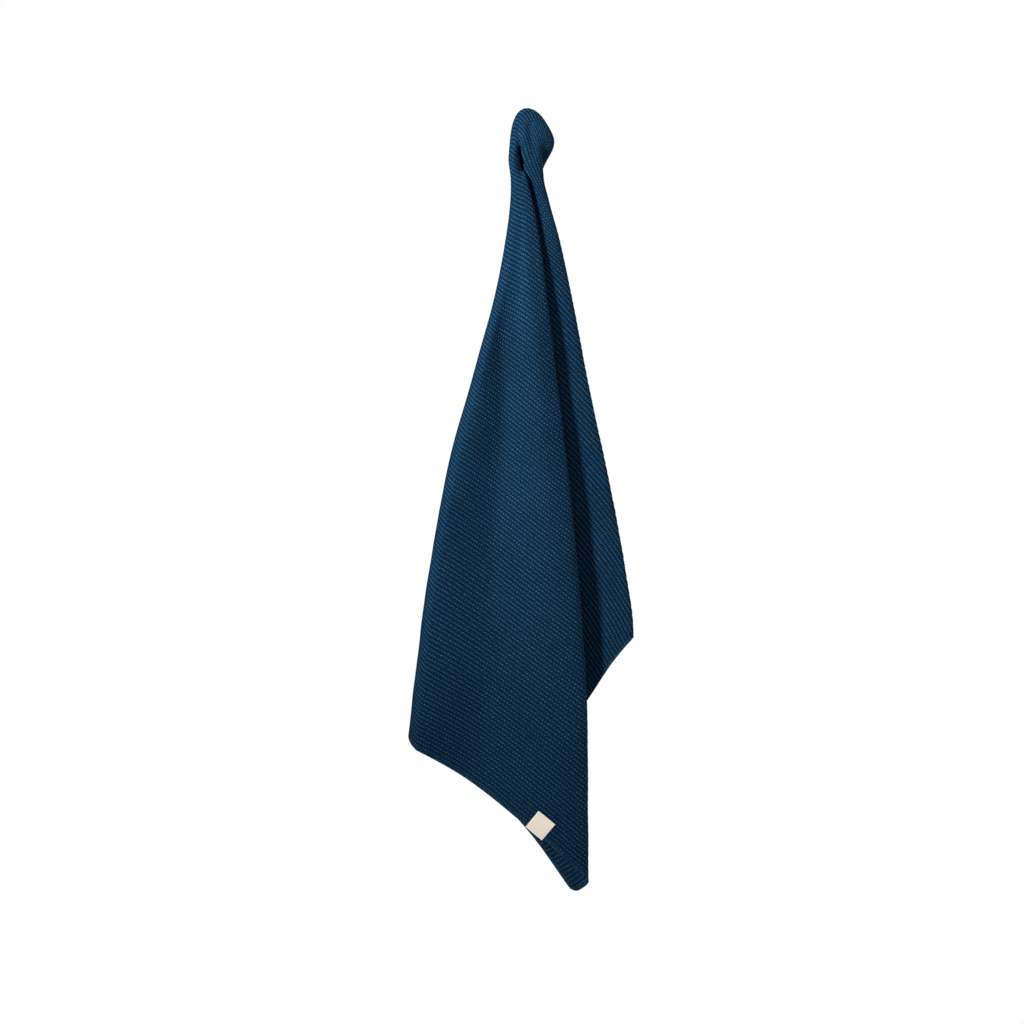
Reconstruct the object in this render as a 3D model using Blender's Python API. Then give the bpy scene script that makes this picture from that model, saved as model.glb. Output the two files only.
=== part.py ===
"""A knitted hand towel that hangs from a hook near one corner, with a folded label on its hem.

The towel is one rectangle of cloth, drawn up over the tip of a hook at a point near one corner. A point
of the cloth is given by its reach, the distance in the cloth from that point, and by its heading, the
angle there from the long side. Below the hood over the hook the cloth falls in folds that run along
lines of equal heading, and they part it into panels that lie one behind the other as one
back-and-forth section. FOLD_STATIONS says where each fold stands at each height, and LEVEL_STATIONS
how far each panel stands from the wall.

Frame: X to the right as seen from the front, Y towards the wall, Z up. The origin is where the hook's
tip bears, inside the hood. Sizes and tables are in millimetres and degrees, the meshes in metres.
"""

import math
from bisect import bisect_right
from typing import NamedTuple

import bmesh
import bpy
from mathutils import Vector

MM = 0.001

# The cloth, and the point of it that the hook lifts.
LONG_SIDE = 600.0
SHORT_SIDE = 500.0
THICKNESS = 1.6
HOOK_FROM_SHORT_EDGE = 45.0
HOOK_FROM_LONG_EDGE = 50.0

# The hood over the hook's tip: how sharply it rounds over, and how flat it is front to back.
HOOD_ROUNDING = 9.5
HOOD_FLATNESS = 0.9
CROWN = THICKNESS / 2

# The woven label, folded over the hem.
LABEL_WIDTH = 18.0
LABEL_LEAF = 18.5
LABEL_THICKNESS = 1.0
LABEL_GAP = 0.4
LABEL_CENTRE = 415.0
LABEL_STEPS = 6
LABEL_TURNS = 8

KNIT_BLUE = (0.008, 0.032, 0.075)
LABEL_CREAM = (0.76, 0.69, 0.58)

# Headings of the lines that part the cloth.
SEAM = -132.0
FLAP_LEFT = -50.0
REAR_FOLD = 8.0
LEFT_FOLD = 22.0
FRONT_FOLD = 37.8
MIDDLE_FOLD = 44.7
RIGHT_FOLD = 61.4
BACK_FOLD = 80.0
FLAP_RIGHT = 130.0
HOOD_FRONT = 42.0


class FoldStation(NamedTuple):
    """Where each fold and free edge stands, as X, at one drop below the crown."""

    drop: float
    long_edge: float
    rear_fold: float
    left_fold: float
    front_fold: float
    middle_fold: float
    right_fold: float
    back_fold: float
    short_edge: float


FOLD_STATIONS = (
    FoldStation(20.0, -12.0, -2.0, -13.0, 0.0, -8.0, 18.0, 5.0, 14.0),
    FoldStation(32.0, -13.0, -3.0, -15.0, -5.5, -11.0, 24.4, 6.5, 20.0),
    FoldStation(45.0, -13.0, -4.5, -15.5, -4.5, -11.0, 19.5, 6.5, 16.0),
    FoldStation(60.0, -11.5, -5.0, -14.0, -1.4, -9.5, 15.2, 6.5, 13.0),
    FoldStation(86.0, -12.5, -4.5, -14.3, 5.0, -7.5, 20.7, 6.0, 16.0),
    FoldStation(122.0, -15.0, 3.0, -18.9, 12.0, -6.0, 29.9, -2.0, 18.0),
    FoldStation(178.0, -21.0, 16.0, -29.9, 18.9, -5.5, 41.9, -17.0, 22.0),
    FoldStation(251.0, -30.0, 22.0, -50.0, 28.0, -8.0, 55.7, -28.0, 29.0),
    FoldStation(325.0, -38.0, 28.0, -70.4, 36.8, -10.5, 71.3, -36.0, 35.0),
    FoldStation(398.0, -45.0, 32.0, -84.2, 44.6, -12.5, 85.1, -41.0, 41.0),
    FoldStation(472.0, -52.0, 35.0, -96.0, 50.6, -14.5, 97.0, -45.0, 46.0),
    FoldStation(546.0, -58.0, 38.0, -104.4, 55.4, -16.5, 108.0, -48.0, 50.0),
    FoldStation(578.0, -60.0, 40.0, -108.1, 56.0, -18.0, 113.0, -49.0, 51.0),
    FoldStation(638.0, -64.0, 42.0, -116.0, 56.2, -21.5, 122.0, -51.0, 53.0),
    FoldStation(720.0, -68.0, 44.0, -127.0, 56.6, -26.0, 134.0, -54.0, 55.0),
)


class LevelStation(NamedTuple):
    """How far each panel stands behind the hook's tip, as Y, at one drop below the crown."""

    drop: float
    flap: float
    rear_turned: float
    rear: float
    front: float
    pleat: float
    right: float
    right_turned: float
    right_inner: float


LEVEL_STATIONS = (
    LevelStation(20.0, 17.0, 13.5, 9.0, -17.0, -12.8, -8.6, 9.0, 13.5),
    LevelStation(35.0, 18.0, 13.5, 9.0, -17.0, -12.7, -8.4, 9.0, 13.5),
    LevelStation(60.0, 14.0, 9.6, 5.2, -14.0, -9.6, -5.2, 5.2, 9.6),
    LevelStation(86.0, 16.0, 12.0, 8.0, -14.5, -9.8, -5.2, 3.6, 7.6),
    LevelStation(122.0, 18.0, 15.5, 11.5, -16.0, -10.2, -5.4, 2.8, 7.0),
    LevelStation(200.0, 20.0, 18.0, 12.5, -20.0, -11.4, -6.2, 2.0, 6.8),
    LevelStation(320.0, 24.0, 21.0, 13.5, -23.0, -12.5, -6.8, 1.6, 7.0),
    LevelStation(480.0, 26.0, 23.0, 14.5, -25.0, -13.5, -7.2, 1.6, 7.4),
    LevelStation(720.0, 26.0, 23.0, 14.5, -25.0, -15.0, -9.0, 1.6, 7.4),
)


class Line(NamedTuple):
    """A fold, free edge or seam of the hood: its columns in the stations, and its length."""

    column: str
    heading: float
    gain: float


class Panel(NamedTuple):
    """A panel between two lines: its column in the levels, and how many faces it is wide."""

    column: str
    faces: int


# In the order of the cloth, from the corner behind the hook round the front and back to it. The gain
# says how much longer the cloth hangs along a line than it measures lying flat.
LINES = (
    Line("seam", SEAM, 1.0),
    Line("long_edge", FLAP_LEFT, 0.985),
    Line("rear_fold", REAR_FOLD, 0.985),
    Line("left_fold", LEFT_FOLD, 0.981),
    Line("front_fold", FRONT_FOLD, 1.018),
    Line("middle_fold", MIDDLE_FOLD, 1.008),
    Line("right_fold", RIGHT_FOLD, 0.968),
    Line("back_fold", BACK_FOLD, 0.965),
    Line("short_edge", FLAP_RIGHT, 0.950),
    Line("seam", SEAM + 360.0, 1.0),
)
PANELS = (
    Panel("flap", 6),
    Panel("rear_turned", 6),
    Panel("rear", 9),
    Panel("front", 13),
    Panel("pleat", 7),
    Panel("right", 10),
    Panel("right_turned", 10),
    Panel("right_inner", 6),
    Panel("flap", 6),
)
LEFT_EDGE_LINE = 1
RIGHT_EDGE_LINE = 8
RING_ROWS = 9
SKIRT_ROWS = 24

# The hood keeps the cloth's own length, and the gains apply in full from this reach.
GAIN_FULL = 150.0

# The drops between which the hood moves over from the hook to the middle of the folds.
HOOD_DRIFT = (5.0, 32.0)

# A fold is half an ellipse in section, its X radius held to WIDEST_FOLD and this share of its panel.
WIDEST_FOLD = 13.0
FOLD_SHARE = 0.45

# Where the round hood gives way to folds, as a reach from the hook: first in depth, then in width.
DEPTH_FOLDS = (22.0, 48.0)
WIDTH_FOLDS = (36.0, 70.0)

# The reaches between which the starting folds are evened out, and how often. The hood and the folds
# meet there, and unevened the sheet would cross itself.
ONSET = (20.0, 75.0)
ONSET_ROUNDS = 4

# Soft shape of the large panels: depth and size of each swell, in full from SWELL_FULL down.
SWELL_START = 70.0
SWELL_FULL = 300.0
FRONT_FALL = 9.0
FRONT_FALL_SHARES = (0.35, 1.25)
TROUGH_DEPTH = 3.0
TROUGH_X = -36.0
TROUGH_DROP = 285.0
TROUGH_WIDTH = 20.0
TROUGH_HEIGHT = 130.0
RIGHT_SWEEP = 0.22


def smooth_step(start: float, end: float, value: float) -> float:
    """Return an S-curve that goes from 0 at start to 1 at end."""
    t = min(max((value - start) / (end - start), 0.0), 1.0)
    return t * t * (3.0 - 2.0 * t)


def mix(start: float, end: float, share: float) -> float:
    """Return the value that lies at a share of the way from start to end."""
    return start + (end - start) * share


class Curve:
    """A smooth curve through the rows of a table, straight on past its ends."""

    def __init__(self, places: list[float], values: list[float]) -> None:
        self.places = places
        self.values = values
        steps = [(values[i + 1] - values[i]) / (places[i + 1] - places[i])
                 for i in range(len(places) - 1)]
        inner = [(steps[i] + steps[i + 1]) / 2 for i in range(len(steps) - 1)]
        self.slopes = [steps[0], *inner, steps[-1]]

    def at(self, place: float) -> float:
        """Return the curve's value at a place."""
        held = min(max(place, self.places[0]), self.places[-1])
        index = min(bisect_right(self.places, held), len(self.places) - 1) - 1
        span = self.places[index + 1] - self.places[index]
        t = (held - self.places[index]) / span
        start, end = self.values[index], self.values[index + 1]
        leave, arrive = self.slopes[index] * span, self.slopes[index + 1] * span
        value = (start + t * leave + t * t * (3 * (end - start) - 2 * leave - arrive)
                 + t * t * t * (2 * (start - end) + leave + arrive))
        edge_slope = self.slopes[0] if place < held else self.slopes[-1]
        return value + edge_slope * (place - held)


def table_curve(stations: tuple, column: str) -> Curve:
    """Return one column of a station table as a smooth curve over the drop."""
    return Curve([row.drop for row in stations], [getattr(row, column) for row in stations])


# How much further the cloth sags at its lower hems, over the heading.
HEM_SAG = Curve([REAR_FOLD, LEFT_FOLD, 28.0, 33.0, 36.0, 39.0, 42.0, 45.0, 52.0, 55.0, 58.0, 62.0, 70.0],
                [0.0, 0.0, 3.5, 9.0, 7.5, 6.5, 4.5, 6.0, 24.0, 21.0, 11.0, 0.0, 0.0])
HEM_SAG_REACH = (380.0, 690.0)

FOLD_CURVES = {column: table_curve(FOLD_STATIONS, column) for column in FoldStation._fields[1:]}
FOLD_CURVES["seam"] = Curve([0.0, 100.0], [0.0, 0.0])
LEVEL_CURVES = {column: table_curve(LEVEL_STATIONS, column) for column in LevelStation._fields[1:]}


def edge_reach(heading: float) -> float:
    """Return how far the cloth reaches from the hook at a heading."""
    turn = math.radians(heading)
    along, across = math.cos(turn), math.sin(turn)
    room_along = LONG_SIDE - HOOK_FROM_SHORT_EDGE if along > 0 else HOOK_FROM_SHORT_EDGE
    room_across = SHORT_SIDE - HOOK_FROM_LONG_EDGE if across > 0 else HOOK_FROM_LONG_EDGE
    return min(room_along / max(abs(along), 1e-9), room_across / max(abs(across), 1e-9))


def line_headings(reach: float) -> list[float]:
    """Return the headings of the lines at a reach: the free edges swing in as the cloth ends there."""
    headings = [line.heading for line in LINES]
    if reach > edge_reach(FLAP_LEFT):
        headings[LEFT_EDGE_LINE] = -math.degrees(math.asin(HOOK_FROM_LONG_EDGE / reach))
    if reach > edge_reach(FLAP_RIGHT):
        headings[RIGHT_EDGE_LINE] = math.degrees(math.acos(-HOOK_FROM_SHORT_EDGE / reach))
    return headings


def panel_level(index: int, drop: float, x: float) -> float:
    """Return how far a panel stands back, as Y, with the soft shape of the large panels."""
    name = PANELS[index].column
    level = LEVEL_CURVES[name].at(drop)
    swell = smooth_step(SWELL_START, SWELL_FULL, drop)
    if name == "front":
        left, right = FOLD_CURVES["left_fold"].at(drop), FOLD_CURVES["front_fold"].at(drop)
        side = (right - x) / (right - left)
        level += swell * FRONT_FALL * smooth_step(*FRONT_FALL_SHARES, side)
        trough = ((x - TROUGH_X) / TROUGH_WIDTH) ** 2 + ((drop - TROUGH_DROP) / TROUGH_HEIGHT) ** 2
        level += TROUGH_DEPTH * math.exp(-trough)
    return level


def section_point(index: int, share: float, drop: float, crisp: float) -> tuple[float, float]:
    """Return X and Y of the point at a share of the way across a panel, folds included.

    Where crisp is 1 the panel is straight between round folds, and at 0 the folds take all of it.
    """
    x_start = FOLD_CURVES[LINES[index].column].at(drop)
    x_end = FOLD_CURVES[LINES[index + 1].column].at(drop)
    way = 1.0 if x_end > x_start else -1.0
    width = abs(x_end - x_start)

    def fold(x: float, neighbour: int) -> tuple[float, float, float]:
        """Return the fold's middle level and its radii towards this panel."""
        here = panel_level(index, drop, x)
        there = panel_level(neighbour, drop, x) if 0 <= neighbour < len(PANELS) else here
        high = abs(here - there) / 2
        radius = mix(width / 2, min(high, WIDEST_FOLD, FOLD_SHARE * width), crisp)
        return (here + there) / 2, radius, high

    start_level, start_radius, start_height = fold(x_start, index - 1)
    end_level, end_radius, end_height = fold(x_end, index + 1)
    start_arc = (start_radius + start_height) * math.pi / 4
    end_arc = (end_radius + end_height) * math.pi / 4
    straight = width - start_radius - end_radius
    walked = share * (start_arc + straight + end_arc)
    if walked < start_arc:
        turn = walked / start_arc * math.pi / 2
        x = x_start + way * start_radius * (1 - math.cos(turn))
        return x, mix(start_level, panel_level(index, drop, x), math.sin(turn))
    if walked > start_arc + straight:
        turn = (start_arc + straight + end_arc - walked) / end_arc * math.pi / 2
        x = x_end - way * end_radius * (1 - math.cos(turn))
        return x, mix(end_level, panel_level(index, drop, x), math.sin(turn))
    x = x_start + way * (start_radius + walked - start_arc)
    return x, panel_level(index, drop, x)


def hanging_point(reach: float, heading: float) -> Vector:
    """Return where a point of the cloth hangs, at the middle of its thickness."""
    headings = line_headings(reach)
    index = min(max(bisect_right(headings, heading) - 1, 0), len(PANELS) - 1)
    share = (heading - headings[index]) / (headings[index + 1] - headings[index])
    gain = mix(LINES[index].gain, LINES[index + 1].gain, share)
    gain = mix(1.0, gain, smooth_step(0.0, GAIN_FULL, reach))
    drop = gain * (math.hypot(reach, HOOD_ROUNDING) - HOOD_ROUNDING)
    drop += HEM_SAG.at(heading) * smooth_step(*HEM_SAG_REACH, reach)

    folded = smooth_step(*WIDTH_FOLDS, reach)
    fold_x, fold_y = section_point(index, share, drop, folded)
    front_x = FOLD_CURVES["front_fold"].at(drop)
    past_front = max(fold_x - front_x, 0.0)
    fold_y += RIGHT_SWEEP * smooth_step(SWELL_START, SWELL_FULL, drop) * past_front

    turn = math.radians(heading - HOOD_FRONT)
    radius = HOOD_ROUNDING * math.asinh(reach / HOOD_ROUNDING)
    left, right = FOLD_CURVES["left_fold"].at(drop), FOLD_CURVES["right_fold"].at(drop)
    middle = mix(0.0, (left + right) / 2, smooth_step(*HOOD_DRIFT, drop))
    hood_x = middle + radius * math.sin(turn)
    hood_y = -HOOD_FLATNESS * radius * math.cos(turn)
    x = mix(hood_x, fold_x, folded)
    y = mix(hood_y, fold_y, smooth_step(*DEPTH_FOLDS, reach))
    return Vector((x, y, CROWN - drop))


def cloth_point(along: float, across: float) -> Vector:
    """Return where the cloth hangs at distances from its short and its long edge, also past them."""
    from_hook = (along - HOOK_FROM_SHORT_EDGE, across - HOOK_FROM_LONG_EDGE)
    heading = math.degrees(math.atan2(from_hook[1], from_hook[0]))
    if heading < SEAM:
        heading += 360.0
    return hanging_point(math.hypot(*from_hook), heading)


def column_rule() -> list[tuple[int, float]]:
    """Return the columns of the cloth's grid: each one's panel and share, closer in the folds."""
    columns = []
    for index, panel in enumerate(PANELS):
        for step in range(panel.faces):
            columns.append((index, (1 - math.cos(math.pi * step / panel.faces)) / 2))
    columns.append((len(PANELS) - 1, 1.0))
    return columns


def column_heading(index: int, share: float, reach: float) -> float:
    """Return the heading of a grid column at a reach."""
    headings = line_headings(reach)
    return mix(headings[index], headings[index + 1], share)


def ring_reach(index: int, share: float) -> float:
    """Return the reach of a column at the foot of the closed hood."""
    if index in (0, len(PANELS) - 1):
        return edge_reach(column_heading(index, share, 0.0))
    place = (index - 1 + share) / (len(PANELS) - 2)
    return mix(edge_reach(FLAP_LEFT), edge_reach(FLAP_RIGHT), place)


def hem_reach(index: int, share: float) -> float:
    """Return the reach of a column at the hem."""
    headings = [line.heading for line in LINES]
    headings[LEFT_EDGE_LINE] = math.degrees(
        math.atan2(-HOOK_FROM_LONG_EDGE, LONG_SIDE - HOOK_FROM_SHORT_EDGE))
    headings[RIGHT_EDGE_LINE] = math.degrees(
        math.atan2(SHORT_SIDE - HOOK_FROM_LONG_EDGE, -HOOK_FROM_SHORT_EDGE))
    return edge_reach(mix(headings[index], headings[index + 1], share))


def finish(name: str, mesh: bmesh.types.BMesh, thickness: float,
           colour: tuple[float, float, float], roughness: float) -> bpy.types.Object:
    """Turn a sheet's middle surface into an object with its thickness and its material."""
    bmesh.ops.recalc_face_normals(mesh, faces=mesh.faces[:])
    data = bpy.data.meshes.new(name)
    mesh.to_mesh(data)
    mesh.free()
    data.shade_smooth()
    thing = bpy.data.objects.new(name, data)
    bpy.context.collection.objects.link(thing)

    material = bpy.data.materials.new(name)
    material.use_nodes = True
    shader = material.node_tree.nodes["Principled BSDF"]
    shader.inputs["Base Color"].default_value = (*colour, 1.0)
    shader.inputs["Roughness"].default_value = roughness
    shader.inputs["Metallic"].default_value = 0.0
    data.materials.append(material)

    solidify = thing.modifiers.new("Thickness", "SOLIDIFY")
    solidify.thickness = thickness * MM
    solidify.offset = 0.0
    return thing


def make_cloth() -> bpy.types.Object:
    """Make the towel's cloth: a closed ring at the hood, then a skirt that is open at the back."""
    columns = column_rule()
    rows = RING_ROWS + SKIRT_ROWS
    mesh = bmesh.new()
    bmesh.ops.create_grid(mesh, x_segments=len(columns) - 1, y_segments=rows, size=1.0)
    past_flap = []
    onset = []
    for number, vertex in enumerate(mesh.verts):
        row, column = divmod(number, len(columns))
        index, share = columns[column]
        hood_end = ring_reach(index, share)
        if row <= RING_ROWS:
            reach = hood_end * row / RING_ROWS
        else:
            reach = mix(hood_end, hem_reach(index, share), (row - RING_ROWS) / SKIRT_ROWS)
            inner_flap = index in (0, len(PANELS) - 1) and 0.0 < share < 1.0
            if inner_flap or column in (0, len(columns) - 1):
                past_flap.append(vertex)
        vertex.co = hanging_point(reach, column_heading(index, share, reach)) * MM
        if ONSET[0] < reach < ONSET[1] and 0 < column < len(columns) - 1:
            onset.append(vertex)
    # The flap ends with the ring, and its two halves meet at the seam of the grid.
    bmesh.ops.delete(mesh, geom=past_flap, context="VERTS")
    bmesh.ops.remove_doubles(mesh, verts=mesh.verts[:], dist=0.01 * MM)
    onset = [vertex for vertex in onset if vertex.is_valid]
    for _ in range(ONSET_ROUNDS):
        bmesh.ops.smooth_vert(mesh, verts=onset, factor=0.5,
                              use_axis_x=True, use_axis_y=True, use_axis_z=True)
    return finish("towel_cloth", mesh, THICKNESS, KNIT_BLUE, 0.95)


def make_label() -> bpy.types.Object:
    """Make the label: two leaves in front of and behind the cloth, joined round the hem."""
    radius = THICKNESS / 2 + LABEL_GAP + LABEL_THICKNESS / 2
    leaf = [LONG_SIDE - LABEL_LEAF * step / LABEL_STEPS for step in range(1, LABEL_STEPS + 1)]
    turns = [math.pi * step / LABEL_TURNS for step in range(LABEL_TURNS + 1)]
    path = [(along, radius) for along in reversed(leaf)]
    path += [(LONG_SIDE + radius * math.sin(turn), radius * math.cos(turn)) for turn in turns]
    path += [(along, -radius) for along in leaf]

    mesh = bmesh.new()
    bmesh.ops.create_grid(mesh, x_segments=len(path) - 1, y_segments=LABEL_STEPS, size=1.0)
    for number, vertex in enumerate(mesh.verts):
        row, column = divmod(number, len(path))
        along, off = path[column]
        across = LABEL_CENTRE + LABEL_WIDTH * (row / LABEL_STEPS - 0.5)
        here = cloth_point(along, across)
        down = cloth_point(along + 1.0, across) - here
        side = cloth_point(along, across + 1.0) - here
        out = down.cross(side).normalized()
        vertex.co = (here + out * off) * MM
    return finish("hem_label", mesh, LABEL_THICKNESS, LABEL_CREAM, 0.8)


def main() -> None:
    """Clear the scene and make the towel."""
    for thing in list(bpy.data.objects):
        bpy.data.objects.remove(thing, do_unlink=True)
    make_cloth()
    make_label()


if __name__ == "__main__":
    main()
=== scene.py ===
"""A dark blue knitted hand towel, hung from a point near one corner, with a blank label on its hem.

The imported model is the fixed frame. Its two plain solids are replaced here: the cloth by a finer sheet
with the same drape, on which every stitch of the knit stands up, and the label by a woven tape.

A place on the cloth is given in millimetres by how far it lies along the 600 mm side and across the
500 mm side. From the point that the hook lifts it also has a reach, its distance in the cloth, and a
heading, its angle from the long side. Folds run along lines of equal heading.

Frame: X to the right as seen from the front, Y towards the wall, Z up, the origin where the hook bears.
"""

import logging
import math
from bisect import bisect_right
from dataclasses import dataclass, field
from enum import Enum
from typing import NamedTuple

import bmesh
import bpy
import numpy as np
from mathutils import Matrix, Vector, noise

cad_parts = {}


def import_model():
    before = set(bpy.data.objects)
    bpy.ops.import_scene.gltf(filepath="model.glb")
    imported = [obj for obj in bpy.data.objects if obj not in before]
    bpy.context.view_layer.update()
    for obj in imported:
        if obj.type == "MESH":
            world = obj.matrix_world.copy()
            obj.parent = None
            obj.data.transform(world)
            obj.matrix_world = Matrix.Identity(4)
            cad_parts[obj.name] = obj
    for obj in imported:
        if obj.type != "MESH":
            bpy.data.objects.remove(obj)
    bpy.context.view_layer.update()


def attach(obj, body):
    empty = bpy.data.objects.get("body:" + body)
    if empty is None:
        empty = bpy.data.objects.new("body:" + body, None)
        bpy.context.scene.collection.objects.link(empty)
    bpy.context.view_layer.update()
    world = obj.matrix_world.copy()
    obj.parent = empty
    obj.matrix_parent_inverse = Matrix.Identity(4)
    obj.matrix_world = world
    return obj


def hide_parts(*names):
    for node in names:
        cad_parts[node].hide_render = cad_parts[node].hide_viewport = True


LOG = logging.getLogger("hand_towel")
MM = 0.001
CREASE_FADE = 0.8

Colour = tuple[float, float, float]
Place = tuple[float, float, float]
Value = bpy.types.NodeSocket | float | tuple


def smooth_step(start: float, end: float, value: float) -> float:
    """Ease from 0 at start to 1 at end.

    Args:
        start: Value where the ease begins.
        end: Value where it ends.
        value: Value to place between them.

    Returns:
        The eased share, held within 0 and 1.
    """
    share = min(max((value - start) / (end - start), 0.0), 1.0)
    return share * share * (3.0 - 2.0 * share)


def mix(start: float, end: float, share: float) -> float:
    """Return the value at a share of the way from start to end."""
    return start + (end - start) * share


class Curve:
    """A smooth curve through the rows of a table, straight on past its ends."""

    def __init__(self, places: list[float], values: list[float]) -> None:
        """Keep the rows and work out the slope at each.

        Args:
            places: Where each row stands, rising.
            values: The value at each of them.
        """
        self.places = places
        self.values = values
        steps = [(values[i + 1] - values[i]) / (places[i + 1] - places[i])
                 for i in range(len(places) - 1)]
        inner = [(steps[i] + steps[i + 1]) / 2 for i in range(len(steps) - 1)]
        self.slopes = [steps[0], *inner, steps[-1]]

    @classmethod
    def from_column(cls, stations: tuple, column: str) -> "Curve":
        """Make the curve of one column of a station table over the drop.

        Args:
            stations: Rows that each have a drop.
            column: Name of the column.

        Returns:
            The curve.
        """
        return cls([row.drop for row in stations], [getattr(row, column) for row in stations])

    def at(self, place: float) -> float:
        """Find the curve's value at a place.

        Args:
            place: The place, also past the table's ends.

        Returns:
            The value.
        """
        held = min(max(place, self.places[0]), self.places[-1])
        index = min(bisect_right(self.places, held), len(self.places) - 1) - 1
        span = self.places[index + 1] - self.places[index]
        t = (held - self.places[index]) / span
        start, end = self.values[index], self.values[index + 1]
        leave, arrive = self.slopes[index] * span, self.slopes[index + 1] * span
        value = (start + t * leave + t * t * (3 * (end - start) - 2 * leave - arrive)
                 + t * t * t * (2 * (start - end) + leave + arrive))
        edge_slope = self.slopes[0] if place < held else self.slopes[-1]
        return value + edge_slope * (place - held)


class FoldStation(NamedTuple):
    """Where each fold and free edge stands, as X, at one drop below the crown."""

    drop: float
    long_edge: float
    rear_fold: float
    left_fold: float
    front_fold: float
    middle_fold: float
    right_fold: float
    back_fold: float
    short_edge: float


class LevelStation(NamedTuple):
    """How far each panel stands behind the hook's tip, as Y, at one drop below the crown."""

    drop: float
    flap: float
    rear_turned: float
    rear: float
    front: float
    pleat: float
    right: float
    right_turned: float
    right_inner: float


class Crease(NamedTuple):
    """A soft crease pressed into the front of the hood, from one place, as X and drop, to another."""

    start: tuple[float, float]
    end: tuple[float, float]
    depth: float
    left_spread: float
    right_spread: float

    def sink(self, x: float, drop: float) -> float:
        """Find how far it presses the cloth back at a place.

        Args:
            x: How far right.
            drop: How far below the crown.

        Returns:
            The depth in millimetres.
        """
        length = math.dist(self.start, self.end)
        way = ((self.end[0] - self.start[0]) / length, (self.end[1] - self.start[1]) / length)
        off = (x - self.start[0], drop - self.start[1])
        along = off[0] * way[0] + off[1] * way[1]
        beside = off[0] * way[1] - off[1] * way[0]
        spread = self.right_spread if beside > 0 else self.left_spread
        past = max(-along, along - length, 0.0)
        fade = (self.left_spread + self.right_spread) * CREASE_FADE
        return self.depth * math.exp(-((beside / spread) ** 2) - (past / fade) ** 2)


class Line(NamedTuple):
    """A fold, free edge or seam of the hood, and how the cloth runs to it.

    It has its column in the stations, its headings at the neck and below, its drop for a length of cloth,
    and how far its heading swings round part of the way down.
    """

    column: str
    neck_heading: float
    heading: float
    gain: float
    swing: float = 0.0


FOLD_STATIONS = (
    FoldStation(20.0, -12.0, -2.0, -13.0, 0.0, -8.0, 18.0, 5.0, 14.0),
    FoldStation(32.0, -13.0, -3.0, -15.0, -5.5, -11.0, 24.4, 6.5, 20.0),
    FoldStation(45.0, -13.0, -4.5, -15.5, -4.5, -11.0, 18.2, 6.5, 15.0),
    FoldStation(60.0, -11.5, -5.0, -14.0, -1.4, -9.5, 15.2, 6.5, 13.0),
    FoldStation(86.0, -12.5, -4.5, -14.3, 5.0, -7.5, 20.7, 6.0, 16.0),
    FoldStation(122.0, -15.0, 3.0, -18.9, 12.0, -6.0, 30.6, -2.0, 18.0),
    FoldStation(178.0, -21.0, 16.0, -29.9, 18.9, -5.5, 42.9, -17.0, 22.0),
    FoldStation(251.0, -30.0, 22.0, -50.0, 28.0, -8.0, 56.9, -28.0, 29.0),
    FoldStation(325.0, -38.0, 28.0, -70.4, 36.8, -10.5, 72.8, -36.0, 35.0),
    FoldStation(398.0, -45.0, 32.0, -84.2, 44.6, -12.5, 87.2, -41.0, 41.0),
    FoldStation(472.0, -52.0, 35.0, -96.0, 50.6, -14.5, 98.8, -45.0, 46.0),
    FoldStation(496.0, -54.0, 36.0, -98.8, 52.4, -15.1, 99.8, -46.1, 47.4),
    FoldStation(546.0, -58.0, 38.0, -104.4, 55.4, -16.5, 106.8, -48.0, 50.0),
    FoldStation(578.0, -60.0, 40.0, -108.1, 56.0, -18.0, 113.0, -49.0, 51.0),
    FoldStation(638.0, -64.0, 42.0, -116.0, 56.2, -21.5, 122.0, -51.0, 53.0),
    FoldStation(720.0, -68.0, 44.0, -127.0, 56.6, -26.0, 134.0, -54.0, 55.0),
)
LEVEL_STATIONS = (
    LevelStation(20.0, 15.0, 12.0, 9.0, -14.0, -12.0, -10.0, 9.0, 12.0),
    LevelStation(35.0, 16.0, 12.5, 9.0, -14.0, -12.2, -10.4, 9.0, 12.5),
    LevelStation(60.0, 14.0, 9.6, 5.2, -12.4, -8.8, -5.2, 5.2, 9.6),
    LevelStation(86.0, 16.4, 12.4, 8.4, -12.0, -8.2, -4.4, 4.2, 8.2),
    LevelStation(122.0, 19.4, 16.6, 13.0, -12.0, -8.8, -4.6, 4.4, 8.8),
    LevelStation(200.0, 23.2, 20.0, 16.2, -12.5, -6.2, 0.4, 7.2, 11.8),
    LevelStation(320.0, 26.2, 22.6, 19.0, -12.5, -5.0, 3.4, 10.2, 14.8),
    LevelStation(480.0, 28.2, 24.6, 20.8, -12.5, -4.0, 7.4, 12.8, 16.8),
    LevelStation(720.0, 28.2, 24.6, 20.8, -12.5, -4.0, 7.6, 12.8, 16.8),
)


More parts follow.
